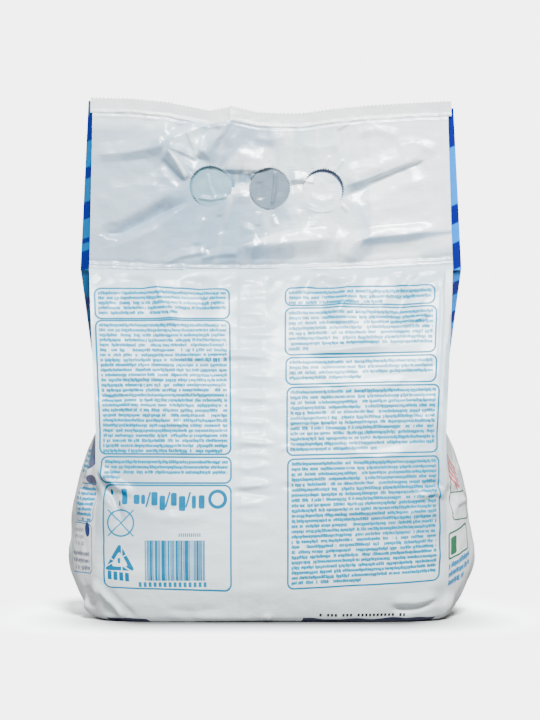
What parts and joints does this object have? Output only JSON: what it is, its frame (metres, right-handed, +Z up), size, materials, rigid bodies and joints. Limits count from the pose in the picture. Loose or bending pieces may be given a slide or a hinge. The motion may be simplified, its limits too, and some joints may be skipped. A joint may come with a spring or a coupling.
{
  "type": "washing powder bag",
  "caption": "Side-gusseted film bag of washing powder, standing full on its flat foot, with a crumpled empty header above a weld and round perforated finger discs.",
  "frame": {"origin": "middle of the bounding box on the surface that the bag stands on, on the plane of the foot", "axes": "+Z up along the height, +X along the width, +Y along the depth, away from the printed text panel, which faces -Y"},
  "size_m": [0.2118, 0.0852, 0.272],
  "materials": {
    "film": null
  },
  "bodies": {
    "root": {"bag": "film"}
  },
  "joints": []
}
